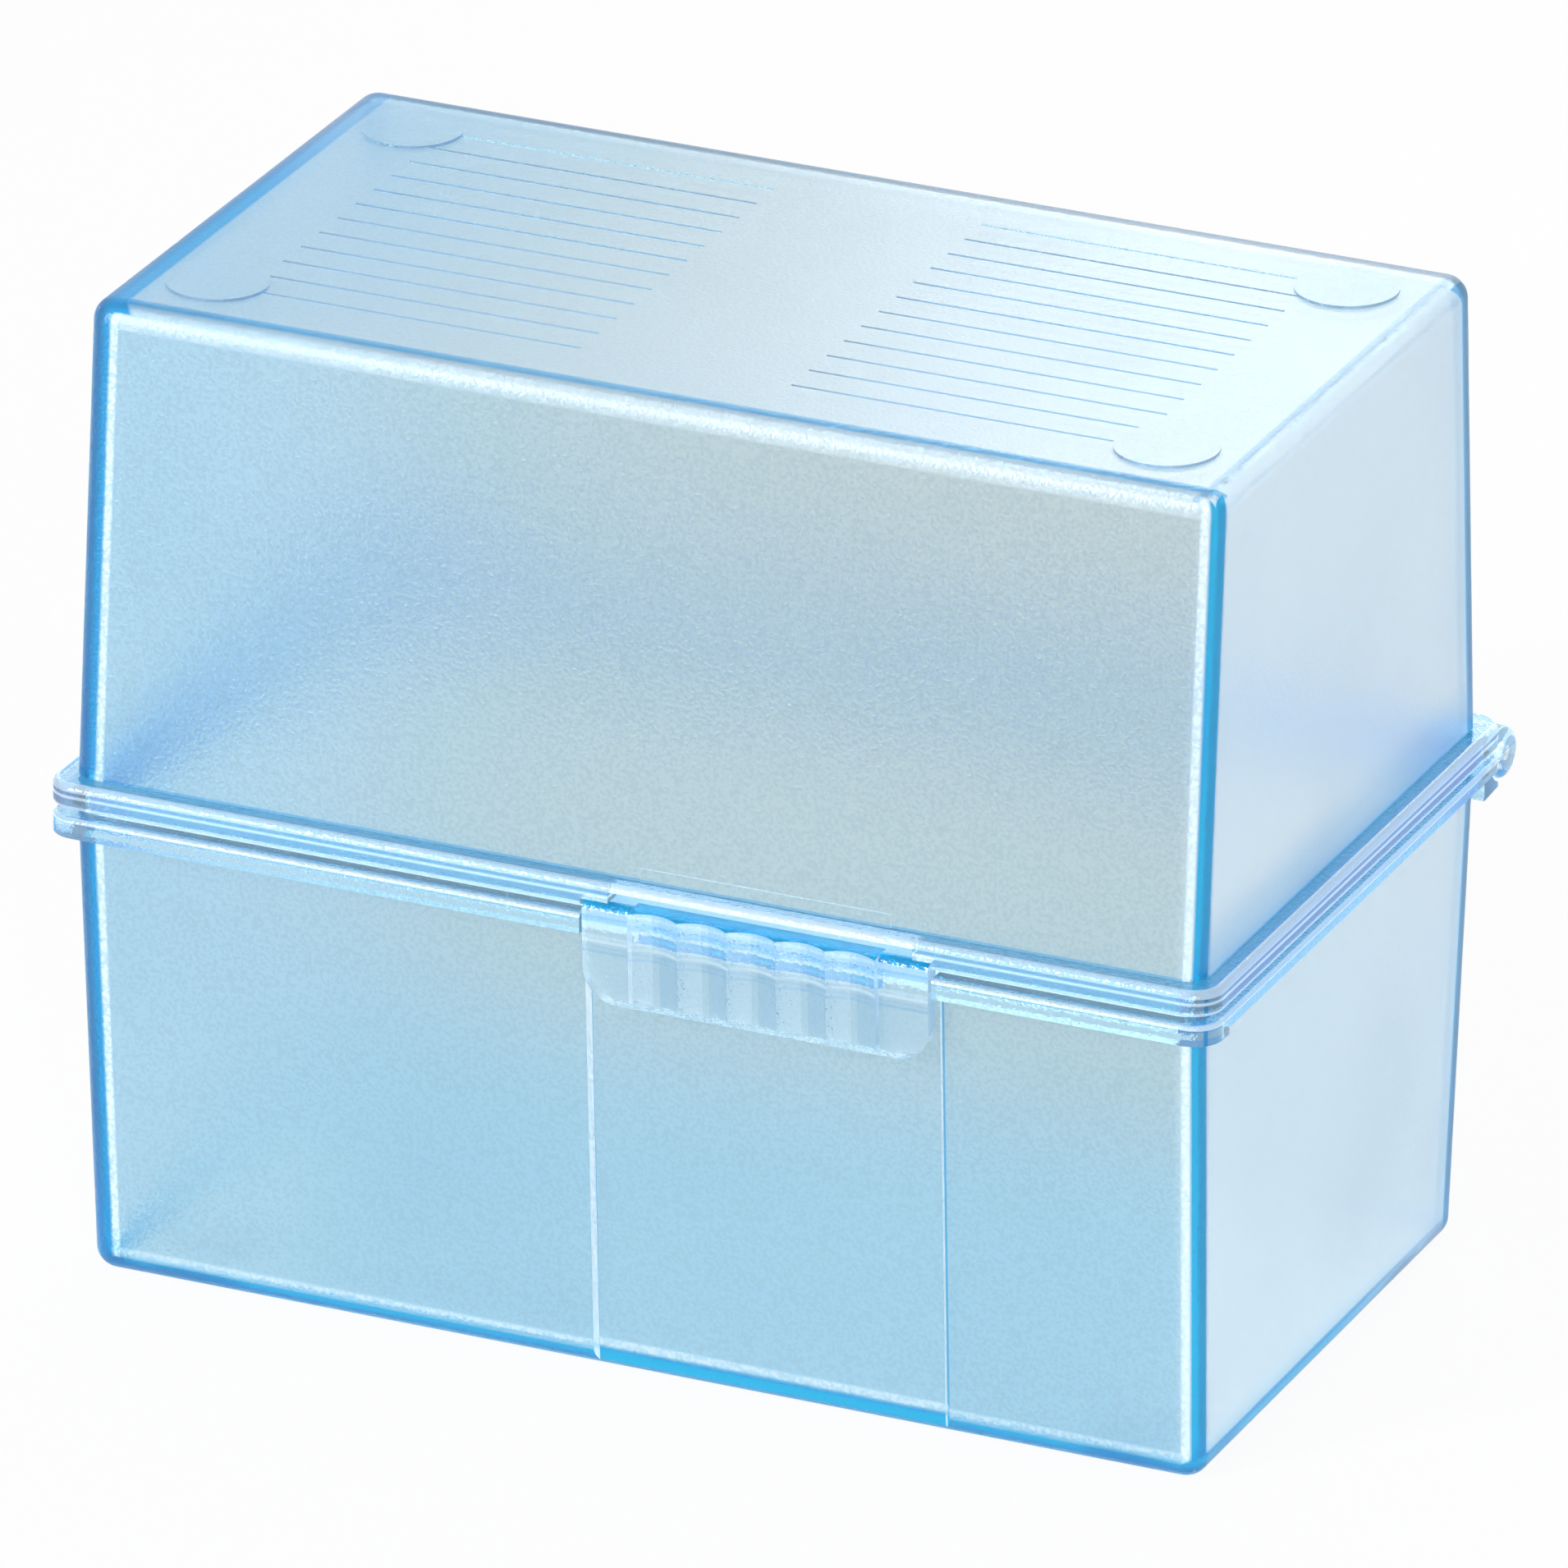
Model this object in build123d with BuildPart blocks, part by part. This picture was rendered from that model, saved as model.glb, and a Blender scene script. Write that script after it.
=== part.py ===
# Index card box: a moulded tray and a moulded hinged cover, joined by a steel rod.
# X runs along the width, the front looks to -Y, and Z = 0 is the tray's underside.
# The origin is the middle of that underside. All lengths are in millimetres.
from build123d import *
from math import atan2, cos, sin
import os

os.makedirs("parts", exist_ok=True)

# The two shells, measured outside; both widen towards the rim where they meet
part_line = 66.5
lid_height = 67.8
rim_width = 156.4
rim_depth = 93.2
tray_side_draft = 0.5
tray_front_draft = 3.95
lid_side_draft = 0.45
lid_front_draft = 4.8
wall = 2.0
outer_corner = 3.2
outer_edge = 3.0
inner_corner = 1.2
inner_edge = 1.0

# Bands round the rim of each shell, with a shadow gap on each side of the part line
band_stand_out = 2.6
band_corner = 4.0
band_edge_round = 0.6
shadow_gap = 0.6
lid_band_height = 3.5
lid_band_round = 1.0
tray_band_height = 1.8
skirt_height = 0.9
skirt_wrap = 3.4

# A lip inside the tray's rim keeps the cover in line
lip_clearance = 0.3
lip_wall = 1.0
lip_height = 2.0
lip_root = 3.0

# The latch tab, right of the middle, hangs from the band by two webs beside a window
tab_centre = 18.6
tab_drop = 12.4
tab_rise = 1.4
tab_thickness = 2.5
tab_corner = 4.6
tab_side_gap = 0.3
tab_face_gap = 0.7
tab_wing = 6.8
left_web = 3.5
right_web = 2.2
top_flat = 0.1
window_rise = 3.1
flex_gap = 0.2
flute_count = 5
flute_pitch = 6.8
flute_proud = 1.1
flute_low_gap = 1.0
panel_depth = 0.4
panel_side_gap = 0.4
panel_groove = 0.8

# The catch ledge on the tray, which the tab snaps under
ledge_drop = 3.1
ledge_height = 1.6
ledge_proud = 1.3
ledge_clearance = 0.3

# The hinge at the back, set off from the rim
hinge_offset = 4.9
hinge_drop = 2.0
barrel_radius = 3.5
barrel_inset = 0.7
barrel_end_round = 1.2
knuckle_count = 5
knuckle_gap = 0.4
swing_clearance = 0.4
rod_radius = 1.0
rod_clearance = 0.05
rod_end_cover = 1.4
rod_end_gap = 0.3
rod_chamfer = 0.2
bracket_inset = 0.9
bracket_reach = 3.8
bracket_tip_drop = 6.4
bracket_root_drop = 6.7
arm_rise = 0.4

# Roof details: stacking discs, grip lines, and the thumb pad over the latch
disc_diameter = 13.5
disc_height = 0.4
disc_clearance = 0.2
disc_inset = 12.5
line_count = 12
line_pitch = 5.45
line_width = 0.5
line_depth = 0.25
line_inset = 16.8
line_middle_gap = 29.0
pad_centre = 18.8
pad_width = 34.5
pad_rise = 1.8
pad_proud = 0.2

# Sizes that follow from the ones above
total_height = part_line + lid_height
rim_back = rim_depth / 2
floor_width = rim_width - 2 * tray_side_draft
floor_depth = rim_depth - 2 * tray_front_draft
roof_width = rim_width - 2 * lid_side_draft
roof_depth = rim_depth - 2 * lid_front_draft
tray_slope = atan2(tray_front_draft, part_line)
wall_middle = rim_back - wall / 2
band_width = rim_width + 2 * band_stand_out
band_depth = rim_depth + 2 * band_stand_out
lip_width = rim_width - 2 * (wall + lip_clearance)
lip_depth = rim_depth - 2 * (wall + lip_clearance)
lid_band_low = part_line + shadow_gap
lid_band_high = lid_band_low + lid_band_height
tray_band_high = part_line - shadow_gap
tray_band_low = tray_band_high - tray_band_height
skirt_low = tray_band_low - skirt_height
flute_zone = flute_count * flute_pitch
tab_width = flute_zone + 2 * tab_wing
tab_low = part_line - tab_drop
tab_high = part_line + tab_rise
notch_top = tab_high + flex_gap
top_round = (tab_thickness - top_flat) / 2
window_width = tab_width - left_web - right_web
window_offset = (left_web - right_web) / 2
window_top = part_line + window_rise
ledge_low = part_line - ledge_drop
hinge_y = rim_back + hinge_offset
hinge_z = part_line - hinge_drop
barrel_half_length = band_width / 2 - barrel_inset
knuckle_pitch = 2 * barrel_half_length / knuckle_count
knuckle_length = knuckle_pitch - knuckle_gap
relief_length = knuckle_pitch + knuckle_gap
swing_radius = barrel_radius + swing_clearance
bore_radius = rod_radius + rod_clearance
bracket_length = 2 * (barrel_half_length - bracket_inset)
bracket_tip = (rim_back + bracket_reach, part_line - bracket_tip_drop)
arm_low = part_line + arm_rise
disc_spacing_x = roof_width - 2 * disc_inset
disc_spacing_y = roof_depth - 2 * disc_inset
line_start = line_middle_gap / 2
line_length = roof_width / 2 - line_inset - line_start
line_centre_x = line_start + line_length / 2
pad_top = lid_band_high + pad_rise


def tray_front(z):
    """The Y of the tray's front wall, outside, at a height."""
    return -floor_depth / 2 - tray_front_draft * z / part_line


def lid_front(z):
    """The Y of the cover's front wall, outside, at a height."""
    return -rim_depth / 2 + lid_front_draft * (z - part_line) / lid_height


def sloping_block(low_z, low_size, high_z, high_size, corner, end_edge, end):
    """A block with four sloping walls, its corners and the edge of one end rounded."""
    with BuildPart() as block:
        with BuildSketch(Plane.XY.offset(low_z)):
            Rectangle(*low_size)
        with BuildSketch(Plane.XY.offset(high_z)):
            Rectangle(*high_size)
        loft(ruled=True)
        level = block.edges().filter_by(Axis.X) + block.edges().filter_by(Axis.Y)
        fillet(block.edges() - level, corner)
        fillet(block.faces().sort_by(Axis.Z)[end].edges(), end_edge)
    return block.part


def rim_band(low_z, high_z):
    """A band with round corners that stands out from the walls."""
    with BuildPart() as band:
        with BuildSketch(Plane.XY.offset(low_z)):
            RectangleRounded(band_width, band_depth, band_corner)
        extrude(amount=high_z - low_z)
    return band.part


def front_notch(top, centre_x, width):
    """What a cut from the rim up to a height takes out of the band on the cover's front."""
    return side_profile(
        [(lid_front(part_line), part_line - wall),
         (lid_front(part_line), part_line),
         (lid_front(top), top),
         (-band_depth, top),
         (-band_depth, part_line - wall)],
        centre_x, width)


def side_profile(points, centre_x, length):
    """A bar along X whose section is given as (y, z) points."""
    with BuildPart() as bar:
        with BuildSketch(Plane.YZ.offset(centre_x - length / 2)):
            Polygon(*points, align=None)
        extrude(amount=length)
    return bar.part


def hinge_bar(radius, centre_x, length):
    """A round bar on the hinge axis."""
    with BuildPart() as bar:
        with BuildSketch(Plane.YZ.offset(centre_x - length / 2)):
            with Locations((hinge_y, hinge_z)):
                Circle(radius)
        extrude(amount=length)
    return bar.part


def knuckle_centres(first):
    """The X of every second knuckle, counted from the left."""
    left = -barrel_half_length + knuckle_pitch / 2
    return [left + knuckle_pitch * i for i in range(first, knuckle_count, 2)]


lid_knuckles = knuckle_centres(0)
tray_knuckles = knuckle_centres(1)

# The tray
tray_outside = sloping_block(
    0, (floor_width, floor_depth), part_line, (rim_width, rim_depth),
    outer_corner, outer_edge, 0)
tray_inside = sloping_block(
    wall, (floor_width - 2 * wall, floor_depth - 2 * wall),
    part_line, (rim_width - 2 * wall, rim_depth - 2 * wall),
    inner_corner, inner_edge, 0)
bracket_section = [
    (wall_middle, tray_band_high),
    (rim_back + band_stand_out, tray_band_high),
    bracket_tip,
    (wall_middle, part_line - bracket_root_drop),
]
neck_section = [
    (wall_middle, tray_band_high),
    (hinge_y, tray_band_high),
    (hinge_y, hinge_z - barrel_radius),
    bracket_tip,
    (wall_middle, part_line - bracket_tip_drop),
]
panel_width = tab_width + 2 * panel_side_gap
panel_cut = side_profile(
    [(tray_front(-wall) + panel_depth, -wall),
     (tray_front(part_line) + panel_depth, part_line),
     (-band_depth, part_line),
     (-band_depth, -wall)],
    tab_centre, panel_width)
groove_plane = Plane(
    origin=(tab_centre, tray_front(0), 0),
    x_dir=(1, 0, 0),
    z_dir=(0, -sin(tray_slope), cos(tray_slope)))
ledge_back = tray_front(ledge_low) + wall / 2
ledge_front = tray_front(ledge_low) + panel_depth - ledge_proud
ledge = side_profile(
    [(ledge_back, ledge_low),
     (ledge_front, ledge_low),
     (ledge_front, ledge_low + ledge_height / 2),
     (ledge_front + ledge_proud / 2, ledge_low + ledge_height),
     (ledge_back, ledge_low + ledge_height)],
    tab_centre, flute_zone)

with BuildPart() as tray_band:
    add(rim_band(tray_band_low, tray_band_high))
    fillet(tray_band.faces().sort_by(Axis.Z)[-1].edges(), band_edge_round)

with BuildPart() as panel_grooves:
    with BuildSketch(groove_plane):
        with Locations((-panel_width / 2, 0), (panel_width / 2, 0)):
            Rectangle(panel_groove, panel_groove, rotation=45)
    extrude(amount=skirt_low / cos(tray_slope))

with BuildPart() as base_tray:
    add(tray_outside)
    add(tray_band.part)
    with BuildSketch(Plane.XY.offset(skirt_low)):
        RectangleRounded(band_width, band_depth, band_corner)
        with Locations((0, -band_depth / 2)):
            Rectangle(band_width, 2 * (band_stand_out + skirt_wrap), mode=Mode.INTERSECT)
    extrude(amount=tray_band_low - skirt_low)
    add(side_profile(bracket_section, 0, bracket_length))
    add(hinge_bar(swing_radius, 0, band_width), mode=Mode.SUBTRACT)
    for x in tray_knuckles:
        add(hinge_bar(barrel_radius, x, knuckle_length))
        add(side_profile(neck_section, x, knuckle_length))
        add(hinge_bar(bore_radius, x, relief_length), mode=Mode.SUBTRACT)
    add(panel_cut, mode=Mode.SUBTRACT)
    add(panel_grooves.part, mode=Mode.SUBTRACT)
    add(ledge)
    add(tray_inside, mode=Mode.SUBTRACT)
    with BuildSketch(Plane.XY.offset(part_line - lip_root)):
        Rectangle(rim_width - wall, rim_depth - wall)
        Rectangle(lip_width - 2 * lip_wall, lip_depth - 2 * lip_wall, mode=Mode.SUBTRACT)
    extrude(amount=lip_root)
    with BuildSketch(Plane.XY.offset(part_line)):
        RectangleRounded(lip_width, lip_depth, inner_corner)
        Rectangle(lip_width - 2 * lip_wall, lip_depth - 2 * lip_wall, mode=Mode.SUBTRACT)
    extrude(amount=lip_height)
    with BuildSketch(Plane.XY):
        with GridLocations(disc_spacing_x, disc_spacing_y, 2, 2):
            Circle(disc_diameter / 2 + disc_clearance)
    extrude(amount=disc_height + disc_clearance, mode=Mode.SUBTRACT)
base_tray.part.label = "base_tray"
export_step(base_tray.part, "parts/base_tray.step")

# The cover
lid_outside = sloping_block(
    part_line, (rim_width, rim_depth), total_height, (roof_width, roof_depth),
    outer_corner, outer_edge, -1)
lid_inside = sloping_block(
    part_line, (rim_width - 2 * wall, rim_depth - 2 * wall),
    total_height - wall, (roof_width - 2 * wall, roof_depth - 2 * wall),
    inner_corner, inner_edge, -1)
arm_section = [
    (wall_middle, arm_low),
    (hinge_y, arm_low),
    (hinge_y, hinge_z + barrel_radius),
    (rim_back, lid_band_high),
    (wall_middle, lid_band_high),
]
pad = side_profile(
    [(lid_front(lid_band_low) + wall / 2, lid_band_low),
     (lid_front(lid_band_low) - pad_proud, lid_band_low),
     (lid_front(pad_top) - pad_proud, pad_top),
     (lid_front(pad_top) + wall / 2, pad_top)],
    pad_centre, pad_width)

with BuildPart() as lid_band:
    add(rim_band(lid_band_low, lid_band_high))
    fillet(lid_band.faces().sort_by(Axis.Z)[-1].edges(), lid_band_round)
    fillet(lid_band.faces().sort_by(Axis.Z)[0].edges(), band_edge_round)

with BuildPart() as barrel:
    add(hinge_bar(barrel_radius, 0, 2 * barrel_half_length))
    fillet(barrel.edges().filter_by(GeomType.CIRCLE), barrel_end_round)

with BuildPart() as lid_cover:
    add(lid_outside)
    add(lid_band.part)
    add(barrel.part)
    for x in lid_knuckles:
        add(side_profile(arm_section, x, knuckle_length))
    for x in tray_knuckles:
        add(hinge_bar(swing_radius, x, relief_length), mode=Mode.SUBTRACT)
    add(pad)
    add(front_notch(notch_top, tab_centre, tab_width + 2 * tab_side_gap), mode=Mode.SUBTRACT)
    add(front_notch(window_top, tab_centre + window_offset, window_width), mode=Mode.SUBTRACT)
    add(lid_inside, mode=Mode.SUBTRACT)
    with BuildSketch(Plane.XY.offset(total_height)):
        with Locations((-line_centre_x, 0), (line_centre_x, 0)):
            with GridLocations(0, line_pitch, 1, line_count):
                Rectangle(line_length, line_width)
    extrude(amount=-line_depth, mode=Mode.SUBTRACT)
    with BuildSketch(Plane.XY.offset(total_height - wall / 2)):
        with GridLocations(disc_spacing_x, disc_spacing_y, 2, 2):
            Circle(disc_diameter / 2)
    extrude(amount=disc_height + wall / 2)
    bore_start = -barrel_half_length - knuckle_gap
    bore_end = barrel_half_length - rod_end_cover
    add(hinge_bar(bore_radius, (bore_start + bore_end) / 2, bore_end - bore_start),
        mode=Mode.SUBTRACT)
lid_cover.part.label = "lid_cover"
export_step(lid_cover.part, "parts/lid_cover.step")

# The latch tab lies parallel to the tray's front wall
tab_back_low = tray_front(tab_low) + panel_depth - tab_face_gap
tab_plane = Plane(
    origin=(tab_centre, tab_back_low, tab_low),
    x_dir=(1, 0, 0),
    z_dir=(0, -cos(tray_slope), -sin(tray_slope)))
tab_height = (tab_high - tab_low) / cos(tray_slope)
flute_height = tab_height - flute_low_gap
flute_radius = ((flute_pitch / 2) ** 2 + flute_proud ** 2) / (2 * flute_proud)
pocket_low = (ledge_low - ledge_clearance - tab_low) / cos(tray_slope)
pocket_height = (ledge_height + 2 * ledge_clearance) / cos(tray_slope)
pocket_width = flute_zone + 2 * ledge_clearance
pocket_depth = ledge_proud - tab_face_gap + ledge_clearance
tab_end_plane = Plane(
    origin=tab_plane.origin, x_dir=tab_plane.x_dir, z_dir=tab_plane.y_dir)

with BuildPart() as latch_tab:
    with BuildSketch(tab_plane) as tab_outline:
        with Locations((0, tab_height / 2)):
            Rectangle(tab_width, tab_height)
        fillet(tab_outline.vertices().group_by(Axis.Y)[0], tab_corner)
    extrude(amount=tab_thickness)
    fillet(latch_tab.edges().filter_by(Axis.X).sort_by(Axis.Z)[-2:], top_round)
    with BuildSketch(tab_plane):
        with Locations((0, flute_low_gap + flute_height / 2)):
            Rectangle(flute_zone, flute_height)
    extrude(amount=tab_thickness + flute_proud)
    with BuildSketch(tab_end_plane):
        with Locations((0, -tab_thickness - flute_radius)):
            with GridLocations(flute_pitch, 0, flute_count, 1):
                Circle(flute_radius)
    extrude(amount=tab_height, mode=Mode.SUBTRACT)
    with BuildSketch(tab_plane):
        with Locations((0, pocket_low + pocket_height / 2)):
            Rectangle(pocket_width, pocket_height)
    extrude(amount=pocket_depth, mode=Mode.SUBTRACT)
latch_tab.part.label = "latch_tab"
export_step(latch_tab.part, "parts/latch_tab.step")
flex_axis = tab_plane.from_local_coords((0, tab_height - tab_thickness / 2, tab_thickness / 2))
print("latch flex axis", flex_axis)

# The steel rod goes in from the left and stops at the closed right end
rod_left = -barrel_half_length + rod_end_gap
rod_right = barrel_half_length - rod_end_cover - rod_end_gap

with BuildPart() as hinge_rod:
    add(hinge_bar(rod_radius, (rod_left + rod_right) / 2, rod_right - rod_left))
    chamfer(hinge_rod.edges().filter_by(GeomType.CIRCLE), rod_chamfer)
hinge_rod.part.label = "hinge_rod"
export_step(hinge_rod.part, "parts/hinge_rod.step")
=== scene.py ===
import math

import bmesh
import bpy
from mathutils import Matrix, Vector


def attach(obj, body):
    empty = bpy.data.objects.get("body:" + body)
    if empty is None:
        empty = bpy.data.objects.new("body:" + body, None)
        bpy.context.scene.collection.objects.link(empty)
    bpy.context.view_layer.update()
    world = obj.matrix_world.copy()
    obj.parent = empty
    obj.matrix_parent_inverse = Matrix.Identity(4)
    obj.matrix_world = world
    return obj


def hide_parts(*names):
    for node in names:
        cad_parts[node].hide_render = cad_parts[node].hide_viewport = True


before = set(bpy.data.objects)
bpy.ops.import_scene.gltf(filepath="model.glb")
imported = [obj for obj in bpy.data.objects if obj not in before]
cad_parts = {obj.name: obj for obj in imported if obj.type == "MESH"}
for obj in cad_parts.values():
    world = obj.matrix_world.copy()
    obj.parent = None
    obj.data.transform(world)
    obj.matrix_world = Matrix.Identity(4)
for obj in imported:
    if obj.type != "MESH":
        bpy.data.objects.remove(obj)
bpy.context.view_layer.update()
MM = 0.001

# The photograph's viewpoint, fitted to the box's outline
FRAME_PIXELS = 1910
FOCAL_PIXELS = 24000
AZIMUTH = math.radians(23.73)
ELEVATION = math.radians(23.26)
ROLL = math.radians(0.51)
DISTANCE = 2.52375
AIM_HEIGHT = 0.065
AIM_RIGHT = 0.00075
AIM_UP = 0.00057
SENSOR = 36.0
VIEW_END = 100

# The white surroundings and the paper floor
AMBIENT = 0.5
WORLD_WHITE_TO = {"Is Camera Ray": 1, "Is Transmission Ray": 1, "Is Glossy Ray": 1}
FLOOR_WHITE_TO = {"Is Camera Ray": 0.93, "Is Transmission Ray": 0.9, "Is Glossy Ray": 0.9}
FLOOR_HALF = 3.0
BOX_MIDDLE = (0, 0, 0.07)

# The outer walls of the two shells, as in the solids
PART_LINE = 66.5 * MM
RIM_WIDTH = 156.4 * MM
RIM_DEPTH = 93.2 * MM
EDGE_RADIUS = 3.1 * MM
TRAY_WALLS = {"Side Lean": 0.5 / 66.5, "Front Lean": 3.95 / 66.5, "End": 0.0}
LID_WALLS = {"Side Lean": 0.45 / 67.8, "Front Lean": 4.8 / 67.8, "End": 134.3 * MM}

# Where the bands round the rim begin and end, and the faces that stand on either side of them
SKIRT_LOW = 63.2 * MM
TRAY_BAND_HIGH = 65.9 * MM
BAND_HIGH = 70.6 * MM
BAND_STAND_OUT = 2.6 * MM
BAND_STEP = 1 * MM
UNDERSIDE = 0.5 * MM
ROOF = 133.5 * MM
ROOF_FACE = 134.3 * MM
PANEL_GROOVES = (-5.6 * MM, 42.8 * MM)
GROOVE_HALF = 0.8 * MM
PAD_TOP = 72.4 * MM
PAD_BACK = -RIM_DEPTH / 2 + 2 * MM
SLACK = 0.1 * MM

# How far a face points up, down or to a side, from 0 to 1, by which its kind is told
LEVEL = 0.95
MOSTLY = 0.9
STANDING = 0.1
BAND_ROUNDING = (0.05, 0.98)
GROOVE_STANDING = 0.2
GROOVE_SIDEWAYS = (0.3, 0.95)
TAB_TOP_UP = 0.3
FLUTE_SIDEWAYS = 0.05

# How blue and how white each kind of face is painted, for the light that leaves it
NO_EDGE = (0.0, 0.0)
BAND_ROUNDING_LIGHT = (0.0, 0.8)
BAND_UNDERSIDE_LIGHT = (0.7, 0.0)
SET_BACK_LIGHT = (1.0, 0.0)
GROOVE_LEFT_LIGHT = (0.0, 0.7)
GROOVE_RIGHT_LIGHT = (0.9, 0.0)
ROOF_STEP_LIGHT = (0.2, 0.3)
ROOF_LINE_LIGHT = (0.12, 0.0)
PAD_LIGHT = (0.0, 0.9)
TAB_TOP_LIGHT = (1.0, 0.0)
TAB_SIDE_LIGHT = (0.0, 0.5)
FLUTE_RIGHT_LIGHT = (0.0, 0.25)
FLUTE_LEFT_LIGHT = (0.2, 0.0)
TAB_FLAT_LIGHT = (0.0, 0.05)

# Colours, linear: the plastic's own colours, and painted light and shade, each marked below
CLEAR_BODY = (0.95, 0.985, 1.0, 1)
BLUE_TONE = (0.62, 0.83, 0.93, 1)
# painted reflection: greyer towards the right and the top of the walls
PAINTED_REFLECTION_GREY = (0.83, 0.80, 0.74, 1)
# painted shade: a darker blue low on the front walls, away from the left end
PAINTED_SHADE_BLUE = (0.47, 0.73, 0.89, 1)
# painted light: white, paler on the sides and rising towards the roof's right
PAINTED_PALE_LIGHT = (1.0, 1.0, 1.0, 1)
# painted shade on the grain's teeth
GRAIN_SHADE = (0.30, 0.40, 0.45, 1)
GRAIN_SHADE_AMOUNT = 0.24
# painted light: the deep blue of light that runs along the plastic and leaves it at the edges
PAINTED_EDGE_BLUE = (0.0, 0.32, 0.70, 1)
# painted highlight: white beside the edges
PAINTED_HIGHLIGHT_WHITE = (1.0, 1.0, 1.0, 1)
# painted glow: an emission colour for rays that have turned many times
DEEP_RAY_GLOW_BLUE = (0.05, 0.48, 0.80, 1)
THICK_BLUE = (0.0, 0.68, 0.90, 1)
NO_LIGHT = (0.0, 0.0, 0.0, 1)
# painted sheen on the sides and roof, as an emission colour
PAINTED_SIDE_SHEEN = (0.12, 0.11, 0.12, 1)
# painted glows at the edges, as emission colours: blue and white
PAINTED_GLOW_BLUE = (0.0, 0.06, 0.10, 1)
PAINTED_GLOW_WHITE = (0.34, 0.36, 0.37, 1)

# How often a ray is turned before it counts as having run a long way inside the plastic
TURNS_OF_A_LONG_WAY = 6.5

# The plastic's surface: clear inside, grained outside, duller where it was touched or is dusty
CLEAR_ROUGHNESS = 0.05
GRAINED_ROUGHNESS = 0.28
SMEAR_ROUGHNESS = 0.06
DUST_ROUGHNESS = 0.4
TOOTH_ROUGHNESS = 0.05
GRAIN_DEPTH = 0.12 * MM
GRAIN_ON_LEVEL = 0.5
GRAIN_ON_SIDES = 0.25
PEBBLE_SIZE = 0.55 * MM
TOOTH_SPAN = (0.40, 0.64)
CLOUD_SPAN = (0.42, 0.72)
SPECK_SPAN = (0.012, 0.03)
SPECKS_LEFT_OUT = 0.8

# Colours and lines of the drawn wire
STEEL_DARK = (0.52, 0.53, 0.55, 1)
STEEL_BRIGHT = (0.72, 0.73, 0.75, 1)
STEEL_LINE_SPAN = (0.35, 0.65)
STEEL_STRETCH = (0.02, 1.0, 1.0)
STEEL_ROUGHNESS = 0.18
STEEL_LINE_ROUGHNESS = 0.2

# The rounded edges of each shell. An edge joins a near wall and a far wall, and a place on it is
# 1 where the rounding leaves the near wall, 0 in its middle and -1 where it meets the far wall.
# Each row has the near and the far wall, the side of the box, and then for the painted blue of
# light that has run along the plastic and for the painted white highlight the two places between
# which each is painted and how strongly.
UPRIGHT_EDGES = (
    ("Along", "Across", "Front Left", (-1.3, 1.1, 1.0), (1.15, 1.45, 1.0)),
    ("Along", "Across", "Front Right", (-0.75, 0.3, 1.0), (0.38, 0.8, 0.85)),
    ("Along", "Across", "Rear", (-1.5, 0.9, 0.9), (0.0, 0.0, 0.0)),
)
LID_EDGES = UPRIGHT_EDGES + (
    ("Along", "Upright", "Front", (-0.95, -0.45, 0.85), (-0.3, 1.0, 0.35)),
    ("Along", "Upright", "Rear", (-1.05, -0.25, 0.5), (-0.1, 1.0, 0.3)),
    ("Across", "Upright", "Left", (-1.6, 1.0, 1.0), (1.1, 1.4, 1.0)),
    ("Across", "Upright", "Right", (-0.95, -0.6, 0.6), (-0.4, 0.9, 0.5)),
)
TRAY_EDGES = UPRIGHT_EDGES + (
    ("Along", "Upright", "Front", (-1.3, 0.85, 1.0), (0.95, 1.3, 0.4)),
    ("Along", "Upright", "Rear", (-1.3, 0.85, 0.5), (0.95, 1.3, 0.2)),
    ("Across", "Upright", "Left", (-1.3, 0.85, 1.0), (0.95, 1.3, 1.0)),
    ("Across", "Upright", "Right", (-1.3, 1.2, 1.0), (0.0, 0.0, 0.0)),
)

# How deep an edge's painted bands reach and how softly they end, in edge radii; what the edges
# along the sides lose of their painted colour towards the back; how white an edge's painted
# highlight is between the grain's teeth and how much whiter on them
EDGE_REACH = (0.34, 0.42)
EDGE_SOFTNESS = 0.09
REAR_FADE = 0.5
WHITE_BETWEEN_TEETH = 0.5
WHITE_ON_TEETH = 0.9

# Painted level lines on the rim and the tab, white painted highlights and painted blue lines: from
# and to what height and how soft, and the amount of each
RIM_WHITE_LINE = (68.7 * MM, 69.1 * MM, 0.1 * MM)
RIM_LOW_BLUE_LINE = (65.2 * MM, 65.4 * MM, 0.1 * MM)
RIM_HIGH_BLUE_LINE = (70.6 * MM, 70.9 * MM, 0.1 * MM)
RIM_BLUE_AMOUNT = 0.8
RIM_INSIDE_BLUE = (62.5 * MM, 71 * MM, 0.8 * MM)
RIM_INSIDE_AMOUNT = 0.85
ABOVE_RIM_BLUE = (70.6 * MM, 77 * MM, 3 * MM)
ABOVE_RIM_AMOUNT = 0.35
TAB_GAP_LINE = (65.3 * MM, 66.2 * MM, 0.2 * MM)
TAB_GAP_AMOUNT = 0.6
TAB_LEDGE_LINE = (61.0 * MM, 61.4 * MM, 0.15 * MM)
TAB_LEDGE_AMOUNT = 0.4
TAB_PALE_LINE = (62.4 * MM, 62.9 * MM, 0.2 * MM)
TAB_PALE_AMOUNT = 0.5

# How deep the rim's and the sides' outer faces count, in edge radii, and from where to where the
# rear rim's painted blue fades in behind the front wall
RIM_SKIN = (0.35, 0.5)
SIDE_SKIN = (0.1, 0.3)
BEHIND_FRONT = (-44 * MM, -38 * MM)

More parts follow.
